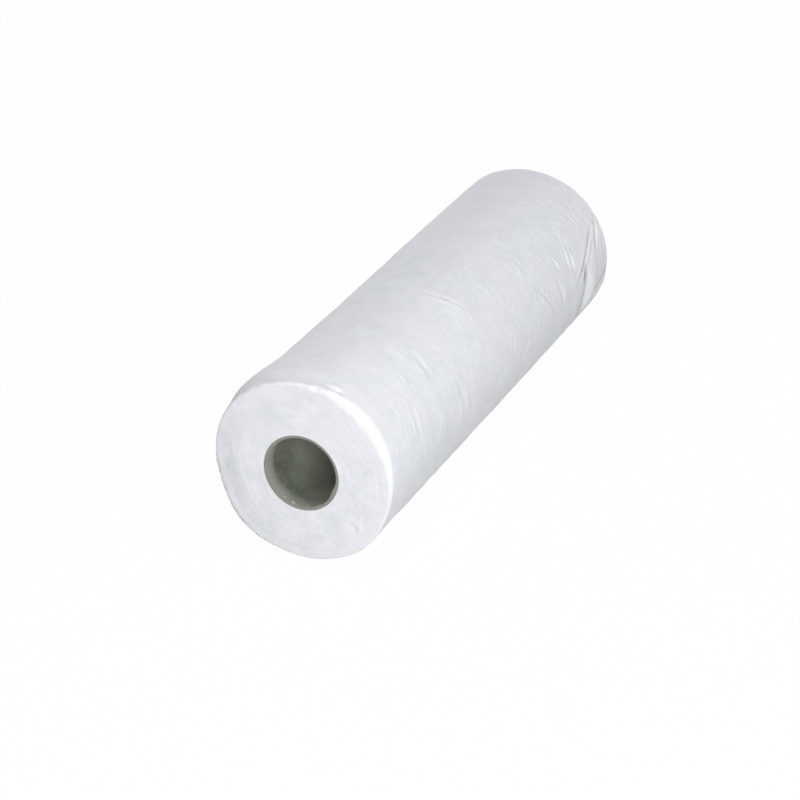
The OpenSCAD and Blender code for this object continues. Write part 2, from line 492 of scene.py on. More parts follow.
    def _skin_radius(
        self, x: np.ndarray, angle: np.ndarray, column: np.ndarray, side: np.ndarray, on_skin: np.ndarray
    ) -> np.ndarray:
        """Gives the radius of the outer turn with its folds, wrinkles and slow swellings.

        Args:
            x: Places along the axis.
            angle: Directions round the axis.
            column: Numbers of the columns.
            side: -1 on the near half and 1 on the far half.
            on_skin: Which points lie on the outer turn itself.

        Returns:
            The radius at each point. A point off the outer turn gets the radius at its rim.
        """
        half = self.length / 2
        place = np.where(on_skin, x, side * (half - self.rim_soft))
        from_far = (half - place) / MM
        wound = self.radius - self.tail_step + self.tail_step * column / self.columns
        push = sum(fold.push(from_far, angle) for fold in FOLDS)
        push = push + self._swelling(place, angle)
        near_skin = from_far[on_skin]
        skin_angle = angle[on_skin]
        fine = np.zeros(len(near_skin))
        for wrinkle in (*self.wrinkles.folds(self.length / MM), *RIM_DENTS):
            close = np.abs(near_skin - wrinkle.from_far) < 9.0
            close &= np.abs(turn_from(skin_angle, wrinkle.direction)) < wrinkle.reach
            fine[close] += wrinkle.push(near_skin[close], skin_angle[close])
        push[on_skin] += fine
        return wound + push * MM + self._undulation(place, angle)

    def _swelling(self, x: np.ndarray, angle: np.ndarray) -> np.ndarray:
        """Gives the slack shoulder of the back, its flare, and the flanks that sag beside the flat spot.

        Args:
            x: Places along the axis.
            angle: Directions round the axis.

        Returns:
            Moves along the radius, in mm.
        """
        along = x / self.length + 0.5
        back = turn_from(angle, self.back_direction)
        rise = 0.15 + 0.9 * ease(along, 0.2, 0.85) + 0.7 * hump(along - 0.05, 0.12)
        shoulder = self.shoulder_rise / MM * hump(back, 62.0) * rise
        past_rim = x + self.length / 2 - self.rim_soft
        drawn_in = self.near_slim / MM * hump(back, 105.0)
        drawn_in = drawn_in + self.slim_below / MM * hump(turn_from(angle, 300.0), 80.0)
        shoulder = shoulder - drawn_in * (1 - ease(past_rim, 0.0, self.slim_length))
        flanks = 1.2 * hump(turn_from(angle, 312.0), 32.0) + 0.8 * hump(turn_from(angle, 228.0), 30.0)
        three_way = np.sin(np.radians(3 * angle + 220 * along))
        pressed = hump(turn_from(angle, BOTTOM), 60.0)
        return shoulder + flanks + 0.4 * three_way * (1 - pressed)

    def _undulation(self, x: np.ndarray, angle: np.ndarray) -> np.ndarray:
        """Gives the gentle waves of the soft sheet, which are longer round the roll than along it.

        Args:
            x: Places along the axis.
            angle: Directions round the axis.

        Returns:
            Moves along the radius.
        """
        turn = np.radians(angle)
        waves_along = 34.0
        waves_round = 0.9
        return self.undulation * np.array(
            [
                noise.fractal((a * waves_along, b * waves_round, c * waves_round), 0.9, 2.1, 3)
                for a, b, c in zip(x, np.cos(turn), np.sin(turn))
            ]
        )

    def _face_depth(
        self, face_radius: np.ndarray, face_edge: np.ndarray, angle: np.ndarray, column: np.ndarray,
        side: np.ndarray,
    ) -> np.ndarray:
        """Gives how far the end faces lie in from the ends: a spiral of turns that stand out in steps.

        Args:
            face_radius: Distances from the axis.
            face_edge: Radius at which the face ends.
            angle: Directions round the axis.
            column: Numbers of the columns.
            side: -1 on the near half and 1 on the far half.

        Returns:
            Depths below the highest turn.
        """
        rings = 2 * self.face_turns + 2
        reach = self.radius - self.rim_soft - self.hole_radius
        start = self.hole_radius - 1.15 * reach / self.face_turns
        travel = (face_radius - start) / (face_edge - start) * rings - 2.0 * column / self.columns
        saw = travel % 2.0
        crest = 1.6
        rise = np.where(saw < crest, saw / crest, (2.0 - saw) / (2.0 - crest))
        turn = np.radians(angle)
        uneven = np.array(
            [
                noise.noise((a * 60.0, b * 60.0, s * 7.0))
                for a, b, s in zip(face_radius * np.cos(turn), face_radius * np.sin(turn), side)
            ]
        )
        depth = self.face_relief * (1 - rise * (0.7 + 0.3 * uneven)) + 0.25 * MM * uneven
        on_near = (side < 0).astype(float)
        for tuft in TUFTS:
            away = np.hypot(
                face_radius / MM - tuft.radius,
                np.radians(turn_from(angle, tuft.direction)) * tuft.radius,
            )
            depth = depth - on_near * tuft.height * MM * np.exp(-((away / tuft.width) ** 2))
        return depth

    def _tail_shift(self, column: np.ndarray, x: np.ndarray) -> np.ndarray:
        """Draws the last column close to the first, so that the sheet's free end is a crisp step.

        Args:
            column: Numbers of the columns.
            x: Places along the axis.

        Returns:
            Turns in degrees.
        """
        step = FULL_TURN / self.columns
        wander = 0.35 * np.sin(x * 61.0) + 0.2 * np.sin(x * 173.0 + 1.0)
        last = column == self.columns - 1
        return np.where(last, step * 1.22 + wander, 0.0) + np.where(column == 0, wander, 0.0)

    def _sort_surfaces(self, bm: bmesh.types.BMesh) -> None:
        """Gives each face its material and makes the mouth's edge a sharp one.

        Args:
            bm: The shaped mesh.
        """
        for face in bm.faces:
            away = face.calc_center_median() - self.core_centre
            radius = math.hypot(away.y, away.z)
            inside = radius < self.hole_radius + 0.1 * MM
            beside_end = abs(away.x) > self.length / 2 - self.rim_soft - 1 * MM
            facing_end = abs(face.normal.x) > 0.96 or radius < self.radius - 1.3 * self.rim_soft
            surface = Surface.OUTER_TURN
            if inside or beside_end and facing_end:
                surface = Surface.EDGES
            elif beside_end and abs(face.normal.x) > 0.25:
                surface = Surface.RIM
            face.smooth = True
            face.material_index = surface.value
        mouth = self.hole_radius + 0.05 * MM
        for edge in bm.edges:
            if edge.calc_face_angle(0.0) > math.radians(50):
                radii = [(vert.co - self.core_centre).yz.length for vert in edge.verts]
                if max(radii) < mouth:
                    edge.smooth = False


@dataclass
class BoardCore:
    """The grey board tube that the sheet is wound on."""

    roll_length: float = 400 * MM
    bore_radius: float = 23 * MM
    wall: float = 2 * MM
    recess: float = 0.5 * MM
    lip: float = 0.4 * MM
    axis_height: float = 57.783 * MM
    columns: int = 192
    wall_cuts: int = 220
    seam_pitch: float = 92 * MM
    seam_width: float = 0.9 * MM
    seam_depth: float = 0.25 * MM
    dent_direction: float = 203.0
    dent_depth: float = 1.0 * MM
    dent_reach: float = 9 * MM

    def build(self) -> bpy.types.Object:
        """Builds the core.

        Returns:
            The finished object, undressed.
        """
        bm = bmesh.new()
        length = self.roll_length - 2 * self.recess
        middle = self.bore_radius + self.wall / 2
        draw_wall(bm, length, self.bore_radius, self.wall)
        bmesh.ops.bevel(
            bm, geom=list(bm.verts), offset=self.lip, segments=3, profile=0.5, affect="VERTICES",
            material=-1,
        )
        for edge in list(bm.edges):
            if abs(edge.verts[0].co.x - edge.verts[1].co.x) > length / 2:
                inside = edge.verts[0].co.y < middle
                bmesh.ops.subdivide_edges(bm, edges=[edge], cuts=self.wall_cuts if inside else 1)
        bmesh.ops.delete(bm, geom=list(bm.faces), context="FACES_ONLY")
        centre = Vector((0.0, 0.0, self.axis_height))
        bmesh.ops.translate(bm, vec=centre, verts=bm.verts)
        spin_round(bm, centre, self.columns)
        for vert in bm.verts:
            self._press(vert, middle)
        for flake in FLAKES:
            self._add_flake(bm, flake)
        bmesh.ops.recalc_face_normals(bm, faces=bm.faces)
        for face in bm.faces:
            face.smooth = True
        return finished_object("board_tube", bm)

    def _add_flake(self, bm: bmesh.types.BMesh, flake: Flake) -> None:
        """Adds a frayed bit, half sunk into the wall of the bore.

        Args:
            bm: The finished tube.
            flake: The bit.
        """
        made = bmesh.ops.create_icosphere(bm, subdivisions=3, radius=1.0)["verts"]
        for vert in made:
            lump = noise.noise(vert.co * 1.7 + Vector((flake.direction, 0.0, 0.0)))
            vert.co *= 1.0 + 0.5 * lump
        size = Vector((0.7, flake.height, flake.size)) * MM
        turn = Matrix.Rotation(math.radians(flake.direction), 4, "X")
        depth = self.recess + flake.depth * MM - self.roll_length / 2
        place = Matrix.Translation((depth, self.bore_radius, 0.0))
        centre = Matrix.Translation((0.0, 0.0, self.axis_height))
        matrix = centre @ turn @ place @ Matrix.Diagonal((*size, 1.0))
        bmesh.ops.transform(bm, matrix=matrix, verts=made)

    def _press(self, vert: bmesh.types.BMVert, middle: float) -> None:
        """Presses the spiral joint into the bore and the small dent into the near mouth.

        Args:
            vert: A point of the tube.
            middle: Radius of the middle of the wall.
        """
        y = vert.co.y
        z = vert.co.z - self.axis_height
        radius = math.hypot(y, z)
        angle = math.degrees(math.atan2(z, y)) % FULL_TURN
        mouth = vert.co.x + self.roll_length / 2 - self.recess
        new_radius = radius
        if radius < middle:
            lead = (vert.co.x / self.seam_pitch - angle / FULL_TURN) % 1.0
            away = min(lead, 1.0 - lead) * self.seam_pitch
            new_radius += self.seam_depth * math.exp(-((away / self.seam_width) ** 2))
        turn = float(turn_from(np.array(angle), self.dent_direction))
        near = math.exp(-((mouth / self.dent_reach) ** 2)) * math.exp(-((turn / 13.0) ** 2))
        if radius < middle:
            new_radius -= self.dent_depth * near
        scale = new_radius / radius
        vert.co.y = y * scale
        vert.co.z = self.axis_height + z * scale


def draw_wall(bm: bmesh.types.BMesh, length: float, inner: float, thickness: float) -> None:
    """Draws the section of a wall, as a rectangle in the plane of X and Y.

    Args:
        bm: An empty mesh.
        length: Length of the wall along the axis.
        inner: Its inner radius.
        thickness: Its thickness.
    """
    bmesh.ops.create_grid(bm, x_segments=1, y_segments=1, size=0.5)
    bmesh.ops.scale(bm, vec=(length, thickness, 1.0), verts=bm.verts)
    bmesh.ops.translate(bm, vec=(0.0, inner + thickness / 2, 0.0), verts=bm.verts)


def spin_round(bm: bmesh.types.BMesh, centre: Vector, steps: int) -> None:
    """Spins an outline once round the roll's axis.

    Args:
        bm: The mesh with the outline.
        centre: A point of the axis.
        steps: Number of columns.
    """
    bmesh.ops.spin(
        bm, geom=list(bm.verts) + list(bm.edges), cent=centre, axis=(1.0, 0.0, 0.0),
        dvec=(0.0, 0.0, 0.0), angle=math.tau, steps=steps, use_merge=True, use_duplicate=False,
    )


def finished_object(name: str, bm: bmesh.types.BMesh) -> bpy.types.Object:
    """Makes an object of a finished mesh, at the origin and unturned.

    Args:
        name: Name of the piece.
        bm: The mesh, which is freed.

    Returns:
        The new object, linked to the scene.
    """
    mesh = bpy.data.meshes.new(name)
    bm.to_mesh(mesh)
    bm.free()
    made = bpy.data.objects.new(name, mesh)
    bpy.context.scene.collection.objects.link(made)
    return made


class NodeDesk:
    """Places and joins the nodes of one node tree."""

    def __init__(self, tree: bpy.types.NodeTree) -> None:
        """Takes the tree to work on."""
        self.tree = tree

    def place(self, kind: str, **values: object) -> bpy.types.Node:
        """Places a node.

        Args:
            kind: Blender's name of the node's type.
            **values: Its own settings, by name.

        Returns:
            The node.
        """
        node = self.tree.nodes.new(kind)
        for key, value in values.items():
            setattr(node, key, value)
        return node

    def join(self, start: bpy.types.NodeSocket, end: bpy.types.NodeSocket) -> None:
        """Joins an output to an input."""
        self.tree.links.new(start, end)

    def math(self, operation: str, *terms: object) -> bpy.types.NodeSocket:
        """Places a calculation.

        Args:
            operation: Which one.
            *terms: Sockets or plain numbers.

        Returns:
            Its result.
        """
        node = self.place("ShaderNodeMath", operation=operation)
        for socket, term in zip(node.inputs, terms):
            if isinstance(term, bpy.types.NodeSocket):
                self.join(term, socket)
            else:
                socket.default_value = term
        return node.outputs[0]

    def noise(
        self, vector: bpy.types.NodeSocket, scale: float, detail: float = 3.0, rough: float = 0.5
    ) -> bpy.types.NodeSocket:
        """Places a noise that varies about a half.

        Args:
            vector: Where it is read.
            scale: Features per metre.
            detail: How many finer layers it has.
            rough: How strong the finer layers are.

        Returns:
            Its value.
        """
        node = self.place("ShaderNodeTexNoise")
        self.join(vector, node.inputs["Vector"])
        node.inputs["Scale"].default_value = scale
        node.inputs["Detail"].default_value = detail
        node.inputs["Roughness"].default_value = rough
        return node.outputs["Fac"]

    def smooth(self, value: bpy.types.NodeSocket, low: float, high: float) -> bpy.types.NodeSocket:
        """Places a smooth step.

        Args:
            value: What is stepped over.
            low: Where the result is 0.
            high: Where the result is 1.

        Returns:
            The result.
        """
        node = self.place("ShaderNodeMapRange", interpolation_type="SMOOTHSTEP")
        node.inputs["From Min"].default_value = low
        node.inputs["From Max"].default_value = high
        self.join(value, node.inputs["Value"])
        return node.outputs[0]

    def blend(
        self, share: bpy.types.NodeSocket, first: tuple[float, ...], second: tuple[float, ...]
    ) -> bpy.types.NodeSocket:
        """Places a mix of two colours.

        Args:
            share: How much of the second colour there is.
            first: Colour at 0.
            second: Colour at 1.

        Returns:
            The mixed colour.
        """
        ramp = self.place("ShaderNodeValToRGB")
        ramp.color_ramp.elements[0].color = (*first, 1.0)
        ramp.color_ramp.elements[1].color = (*second, 1.0)
        self.join(share, ramp.inputs[0])
        return ramp.outputs["Color"]

    def cover(
        self, share: bpy.types.NodeSocket, under: bpy.types.NodeSocket, over: tuple[float, ...]
    ) -> bpy.types.NodeSocket:
        """Covers a varying colour with a plain one.

        Args:
            share: How much of the plain colour there is.
            under: The varying colour.
            over: The plain colour.

        Returns:
            The mixed colour.
        """
        mix = self.place("ShaderNodeMix", data_type="RGBA")
        sockets = {socket.name: socket for socket in mix.inputs if socket.enabled}
        self.join(share, sockets["Factor"])
        self.join(under, sockets["A"])
        sockets["B"].default_value = (*over, 1.0)
        return next(socket for socket in mix.outputs if socket.enabled)


def paper_grain_group() -> bpy.types.NodeTree:
    """Makes the grain that the sheet and its edges share: crinkles, short strokes and specks.

    Returns:
        The node group, with the sockets Vector, Along, Round, Strokes, Height, Mottle and Tint.
    """
    tree = bpy.data.node_groups.new("paper_grain", "ShaderNodeTree")
    tree.interface.new_socket("Vector", in_out="INPUT", socket_type="NodeSocketVector")
    for name in ("Along", "Round", "Strokes"):
        tree.interface.new_socket(name, in_out="INPUT", socket_type="NodeSocketFloat")
    for name in ("Height", "Mottle", "Tint"):
        tree.interface.new_socket(name, in_out="OUTPUT", socket_type="NodeSocketFloat")
    desk = NodeDesk(tree)
    entry = desk.place("NodeGroupInput")
    where = entry.outputs["Vector"]
    parts = desk.place("ShaderNodeSeparateXYZ")
    desk.join(where, parts.inputs[0])
    bend = desk.math("MULTIPLY", desk.noise(where, 75.0, 2.0), 0.014)
    bent = desk.math("ADD", parts.outputs["X"], bend)
    stretched = desk.place("ShaderNodeCombineXYZ")
    desk.join(desk.math("MULTIPLY", bent, entry.outputs["Along"]), stretched.inputs["X"])
    desk.join(desk.math("MULTIPLY", parts.outputs["Y"], entry.outputs["Round"]), stretched.inputs["Y"])
    desk.join(desk.math("MULTIPLY", parts.outputs["Z"], entry.outputs["Round"]), stretched.inputs["Z"])
    crinkle = desk.noise(stretched.outputs[0], 1.0, 2.0, 0.5)
    patches = desk.smooth(desk.noise(where, 38.0, 2.0, 0.5), 0.42, 0.62)
    level = desk.math("ABSOLUTE", desk.math("SUBTRACT", desk.noise(stretched.outputs[0], 0.6, 1.0), 0.5))
    strokes = desk.math("MULTIPLY", desk.smooth(level, 0.07, 0.0), patches)
    strokes = desk.math("MULTIPLY", strokes, entry.outputs["Strokes"])
    specks = desk.noise(where, 480.0, 2.0, 0.6)
    height = desk.math("ADD", desk.math("MULTIPLY", specks, 0.45), strokes)
    height = desk.math("ADD", height, desk.math("MULTIPLY", crinkle, 0.7))
    blotch = desk.noise(where, 70.0, 3.0, 0.5)
    mottle = desk.math("ADD", desk.math("MULTIPLY", blotch, 0.6), desk.math("MULTIPLY", crinkle, 0.4))
    tint = desk.smooth(desk.noise(where, 22.0, 3.0, 0.6), 0.4, 0.62)
    end = desk.place("NodeGroupOutput")
    desk.join(height, end.inputs["Height"])
    desk.join(mottle, end.inputs["Mottle"])
    desk.join(tint, end.inputs["Tint"])
    return tree


FOLD_VALUES = ("from_far", "direction", "reach", "slant", "width", "shade")


def fold_shade_group(roll_length: float, axis_height: float) -> bpy.types.NodeTree:
    """Makes the painted shade in the bottom of a fold on the front, a darker colour for the shadow in its
    hollow.

    Args:
        roll_length: Length of the roll.
        axis_height: Height of the roll's axis.

    Returns:
        The node group, with a socket for each of the fold's values, Vector and Share.
    """
    tree = bpy.data.node_groups.new("fold_shade", "ShaderNodeTree")
    tree.interface.new_socket("Vector", in_out="INPUT", socket_type="NodeSocketVector")
    for name in FOLD_VALUES:
        tree.interface.new_socket(name, in_out="INPUT", socket_type="NodeSocketFloat")
    tree.interface.new_socket("Share", in_out="OUTPUT", socket_type="NodeSocketFloat")
    desk = NodeDesk(tree)
    entry = desk.place("NodeGroupInput")
    parts = desk.place("ShaderNodeSeparateXYZ")
    desk.join(entry.outputs["Vector"], parts.inputs[0])
    up = desk.math("SUBTRACT", parts.outputs["Z"], axis_height)
    rise = desk.math("ARCTAN2", up, desk.math("MULTIPLY", parts.outputs["Y"], -1.0))
    angle = desk.math("SUBTRACT", 180.0, desk.math("DEGREES", rise))
    along = desk.math("SUBTRACT", angle, entry.outputs["direction"])
    from_far = desk.math("MULTIPLY_ADD", parts.outputs["X"], -1.0 / MM, roll_length / 2 / MM)
    off = desk.math("SUBTRACT", from_far, entry.outputs["from_far"])
    off = desk.math("MULTIPLY_ADD", along, entry.outputs["slant"], off)
    across = desk.math("DIVIDE", desk.math("ABSOLUTE", off), entry.outputs["width"])
    past = desk.math("DIVIDE", desk.math("ABSOLUTE", along), entry.outputs["reach"])
    in_bottom = desk.smooth(across, 0.85, 0.0)
    between_ends = desk.smooth(past, 0.95, 0.35)
    share = desk.math("MULTIPLY", in_bottom, between_ends)
    end = desk.place("NodeGroupOutput")
    desk.join(desk.math("MULTIPLY", share, entry.outputs["shade"]), end.inputs["Share"])
    return tree


LAVENDER = (0.865, 0.845, 0.895)
# Colour of the painted shade in the bottoms of the big folds
FOLD_PAINTED_SHADE = (0.05, 0.055, 0.065)


@dataclass(frozen=True)
class PaperFinish:
    """Soft, blue-white covering paper.

    Attributes:
        name: Name of the material.
        shade: Colour in the hollows of the grain.
        light: Colour on its heights.
        roughness: How matt it is.
        crinkles_along: Crinkles per metre along the axis.
        crinkles_round: Crinkles per metre round it.
        relief: Height of the grain, in metres.
        strokes: Height of the short strokes as a share of the grain's.
        warm: How far the warmer patches go.
        near_share: Share of the grain's height that is left at the near end.
        folded: Whether it gets the painted shade in the bottoms of the big folds.
        lap_tone: How far the turns' edges show in the colour.
        laps: Edges of turns per metre across an end face, or none.
        lap_relief: Height of the turns' edges, in metres.
    """

    name: str
    shade: tuple[float, float, float]
    light: tuple[float, float, float]
    roughness: float
    crinkles_along: float
    crinkles_round: float
    relief: float
    strokes: float = 0.0
    warm: float = 0.5
    near_share: float = 1.0
    folded: bool = False
    lap_tone: float = 0.3
    laps: float = 0.0
    lap_relief: float = 0.0

    def make(
        self, grain: bpy.types.NodeTree, fold_shade: bpy.types.NodeTree, axis_height: float
    ) -> bpy.types.Material:
        """Makes the material.

        Args:
            grain: The shared paper grain.
            fold_shade: The painted shade in the bottom of a fold.
            axis_height: Height of the roll's axis.

        Returns:
            The material.
        """
        material = bpy.data.materials.new(self.name)
        material.use_nodes = True
        desk = NodeDesk(material.node_tree)
        shader = material.node_tree.nodes["Principled BSDF"]
        shader.inputs["Roughness"].default_value = self.roughness
        shader.inputs["Specular IOR Level"].default_value = 0.35
        where = desk.place("ShaderNodeTexCoord").outputs["Object"]
        texture = desk.place("ShaderNodeGroup", node_tree=grain)
        desk.join(where, texture.inputs["Vector"])
        texture.inputs["Along"].default_value = self.crinkles_along
        texture.inputs["Round"].default_value = self.crinkles_round
        texture.inputs["Strokes"].default_value = self.strokes
        place = desk.place("ShaderNodeSeparateXYZ")
        desk.join(where, place.inputs[0])
        share = desk.smooth(place.outputs["X"], -0.2, 0.1)
        share = desk.math("MULTIPLY_ADD", share, 1.0 - self.near_share, self.near_share)
        height = desk.math("MULTIPLY", texture.outputs["Height"], self.relief)
        height = desk.math("MULTIPLY", height, share)
        tone = texture.outputs["Mottle"]
        if self.laps:
            turns = self._turns(desk, where, axis_height)
            height = desk.math("ADD", height, desk.math("MULTIPLY", turns, self.lap_relief))
            rings = desk.math("MULTIPLY", turns, self.lap_tone)
            tone = desk.math("MULTIPLY_ADD", tone, 1.0 - self.lap_tone, rings)
        cool = desk.blend(desk.smooth(tone, 0.3, 0.7), self.shade, self.light)
        patches = desk.math("MULTIPLY", texture.outputs["Tint"], self.warm)
        colour = desk.cover(patches, cool, LAVENDER)
        # Painted shade in the bottoms of the big folds
        if self.folded:
            for fold in (fold for fold in FOLDS if fold.shade > 0.0):
                colour = self._shade(desk, where, fold_shade, fold, colour)
        desk.join(colour, shader.inputs["Base Color"])
        bump = desk.place("ShaderNodeBump")
        bump.inputs["Strength"].default_value = 1.0
        bump.inputs["Distance"].default_value = 1.0
        desk.join(height, bump.inputs["Height"])
        desk.join(bump.outputs["Normal"], shader.inputs["Normal"])
        return material

    def _shade(
        self, desk: NodeDesk, where: bpy.types.NodeSocket, fold_shade: bpy.types.NodeTree, fold: Fold,
        colour: bpy.types.NodeSocket,
    ) -> bpy.types.NodeSocket:
        """Paints shade into the bottom of a fold.

        Args:
            desk: The material's nodes.
            where: Object coordinates.
            fold_shade: The shared painted shade.
            fold: The fold.
            colour: The sheet's colour so far.

        Returns:
            The colour with the painted shade.
        """
        shade = desk.place("ShaderNodeGroup", node_tree=fold_shade)
        desk.join(where, shade.inputs["Vector"])
        for name in FOLD_VALUES:
            shade.inputs[name].default_value = getattr(fold, name)
        return desk.cover(shade.outputs["Share"], colour, FOLD_PAINTED_SHADE)

    def _turns(
        self, desk: NodeDesk, where: bpy.types.NodeSocket, axis_height: float
    ) -> bpy.types.NodeSocket:
        """Draws the edges of the many thin turns as uneven rings round the axis.

        Args:
            desk: The material's nodes.
            where: Object coordinates.
            axis_height: Height of the roll's axis.

        Returns:
            A value that varies with the distance from the axis.
        """
        parts = desk.place("ShaderNodeSeparateXYZ")
        desk.join(where, parts.inputs[0])
        down = desk.math("SUBTRACT", parts.outputs["Z"], axis_height)
        square = desk.math("MULTIPLY", parts.outputs["Y"], parts.outputs["Y"])
        away = desk.math("SQRT", desk.math("ADD", square, desk.math("MULTIPLY", down, down)))
        wander = desk.math("MULTIPLY", desk.noise(where, 45.0, 1.0), 0.0016)
        rings = desk.place("ShaderNodeTexNoise", noise_dimensions="1D")
        rings.inputs["Scale"].default_value = self.laps
        rings.inputs["Detail"].default_value = 3.0
        desk.join(desk.math("ADD", away, wander), rings.inputs["W"])
        return rings.outputs["Fac"]


@dataclass(frozen=True)
class BoardFinish:
    """Plain grey board with darker flecks, with painted light and painted shade in the bore: paler far in,
    near its ends and low on the front, darker on its end faces.

    Attributes:
        dark: Colour of the flecks.
        light: Colour between them.
        deep: Paler colour further in, painted light for the light that reaches the middle of the bore.
        deep_from: Distance from the middle within which the board is that pale, in metres.
        painted_light: Paler colour low on the front of the bore, painted light for the light that falls on
            that wall.
        painted_light_share: How much of that colour shows there.
        painted_light_way: How far forward and how far down that wall faces.
        painted_light_from: Distance that way from the axis at which the colour starts, in metres.
        painted_light_to: Distance at which it is full, in metres.
        pale: Paler colour near its ends, painted light for the lit mouth of the bore.
        pale_from: Distance from the middle at which the pale ends start, in metres.
        pale_soft: Length over which they turn pale, in metres.
        painted_end_shade: Darker colour on the core's end faces, painted shade of the gap between the core
            and the paper.
        painted_end_shade_from: Distance from the middle at which that colour starts, in metres.
        roughness: How matt it is.
        relief: Height of its grain, in metres.
    """

    dark: tuple[float, float, float] = (0.15, 0.17, 0.14)
    light: tuple[float, float, float] = (0.25, 0.28, 0.23)
    deep: tuple[float, float, float] = (0.46, 0.49, 0.42)
    deep_from: float = 0.135
    painted_light: tuple[float, float, float] = (0.5, 0.5, 0.455)
    painted_light_share: float = 0.55
    painted_light_way: tuple[float, float] = (0.85, 0.53)
    painted_light_from: float = 0.006
    painted_light_to: float = 0.021
    pale: tuple[float, float, float] = (0.43, 0.425, 0.38)
    pale_from: float = 0.189
    pale_soft: float = 0.0075
    painted_end_shade: tuple[float, float, float] = (0.28, 0.275, 0.24)
    painted_end_shade_from: float = 0.1984
    roughness: float = 0.85
    relief: float = 0.00012

    def make(self, grain: bpy.types.NodeTree, axis_height: float) -> bpy.types.Material:
        """Makes the material.

        Args:
            grain: The shared paper grain.
            axis_height: Height of the roll's axis.

        Returns:
            The material.
        """
        material = bpy.data.materials.new("grey_board")
        material.use_nodes = True
        desk = NodeDesk(material.node_tree)
        shader = material.node_tree.nodes["Principled BSDF"]
        shader.inputs["Roughness"].default_value = self.roughness
        shader.inputs["Specular IOR Level"].default_value = 0.3
        where = desk.place("ShaderNodeTexCoord").outputs["Object"]
        texture = desk.place("ShaderNodeGroup", node_tree=grain)
        desk.join(where, texture.inputs["Vector"])
        texture.inputs["Along"].default_value = 260.0
        texture.inputs["Round"].default_value = 420.0
        parts = desk.place("ShaderNodeSeparateXYZ")
        desk.join(where, parts.inputs[0])
        wander = desk.math("MULTIPLY", texture.outputs["Mottle"], 0.004)
        away = desk.math("ADD", desk.math("ABSOLUTE", parts.outputs["X"]), wander)
        flecked = desk.blend(desk.smooth(texture.outputs["Mottle"], 0.35, 0.62), self.dark, self.light)
        # Painted light: the board turns paler further in, for the light that reaches the middle of the bore
        inside = desk.math("MULTIPLY", desk.smooth(away, self.pale_from, self.deep_from), 0.85)
        flecked = desk.cover(inside, flecked, self.deep)
        up = desk.math("SUBTRACT", parts.outputs["Z"], axis_height)
        # Painted light: a paler colour low on the front wall of the bore, for the light that falls there
        ahead, below = self.painted_light_way
        low_front = desk.math("MULTIPLY_ADD", parts.outputs["Y"], -ahead, desk.math("MULTIPLY", up, -below))
        on_painted_light = desk.smooth(low_front, self.painted_light_from, self.painted_light_to)
        on_painted_light = desk.math("MULTIPLY", on_painted_light, self.painted_light_share)
        flecked = desk.cover(on_painted_light, flecked, self.painted_light)
        # Painted light: the board is paler near its ends, for the lit mouth of the bore
        at_end = desk.smooth(away, self.pale_from, self.pale_from + self.pale_soft)
        board = desk.cover(at_end, flecked, self.pale)
        # Painted shade: a darker colour on the core's end faces, for the shadow in the gap between the core
        # and the paper
        on_painted_end_shade = desk.smooth(desk.math("ABSOLUTE", parts.outputs["X"]), self.painted_end_shade_from, self.painted_end_shade_from + MM)
        desk.join(desk.cover(on_painted_end_shade, board, self.painted_end_shade), shader.inputs["Base Color"])
        bump = desk.place("ShaderNodeBump")
        bump.inputs["Distance"].default_value = self.relief
        desk.join(texture.outputs["Height"], bump.inputs["Height"])
        desk.join(bump.outputs["Normal"], shader.inputs["Normal"])
        return material


@dataclass(frozen=True)
class SoftBox:
    """A square soft light, turned to a point of the roll.

    Attributes:
        name: Name of the light.
        direction: Direction that it comes from, in degrees from -Y towards +X.
        height: How far above level it comes from, in degrees.
        distance: Distance from the point, in metres.
        size: Length of its side, in metres.
        power: Its power in watts.
        aim: The point.
    """

    name: str
    direction: float
    height: float
    distance: float
    size: float
    power: float
    aim: tuple[float, float, float] = (0.0, 0.0, 0.06)

    def hang(self) -> None:
        """Hangs the light."""
        turn = math.radians(self.direction)
        rise = math.radians(self.height)
        way = Vector((math.sin(turn) * math.cos(rise), -math.cos(turn) * math.cos(rise), math.sin(rise)))
        lamp = bpy.data.lights.new(self.name, "AREA")
        lamp.shape = "SQUARE"
        lamp.size = self.size
        lamp.energy = self.power
        made = bpy.data.objects.new(self.name, lamp)
        made.location = Vector(self.aim) + way * self.distance
        made.rotation_euler = way.to_track_quat("Z", "Y").to_euler()
        bpy.context.scene.collection.objects.link(made)


NEAR_END = (-0.12, 0.0, 0.06)
LIGHTS = (
    SoftBox("near_key", 300.0, 15.0, 1.3, 0.6, 10.4, NEAR_END),
    SoftBox("near_left", 235.0, 42.0, 1.3, 0.4, 1.0, NEAR_END),
    SoftBox("top", 0.0, 75.0, 2.2, 1.2, 20.2),
    SoftBox("front_low", 0.0, 15.0, 2.2, 1.2, 5.3),
    SoftBox("back_low", 135.0, 12.0, 2.2, 1.2, 11.5),
)


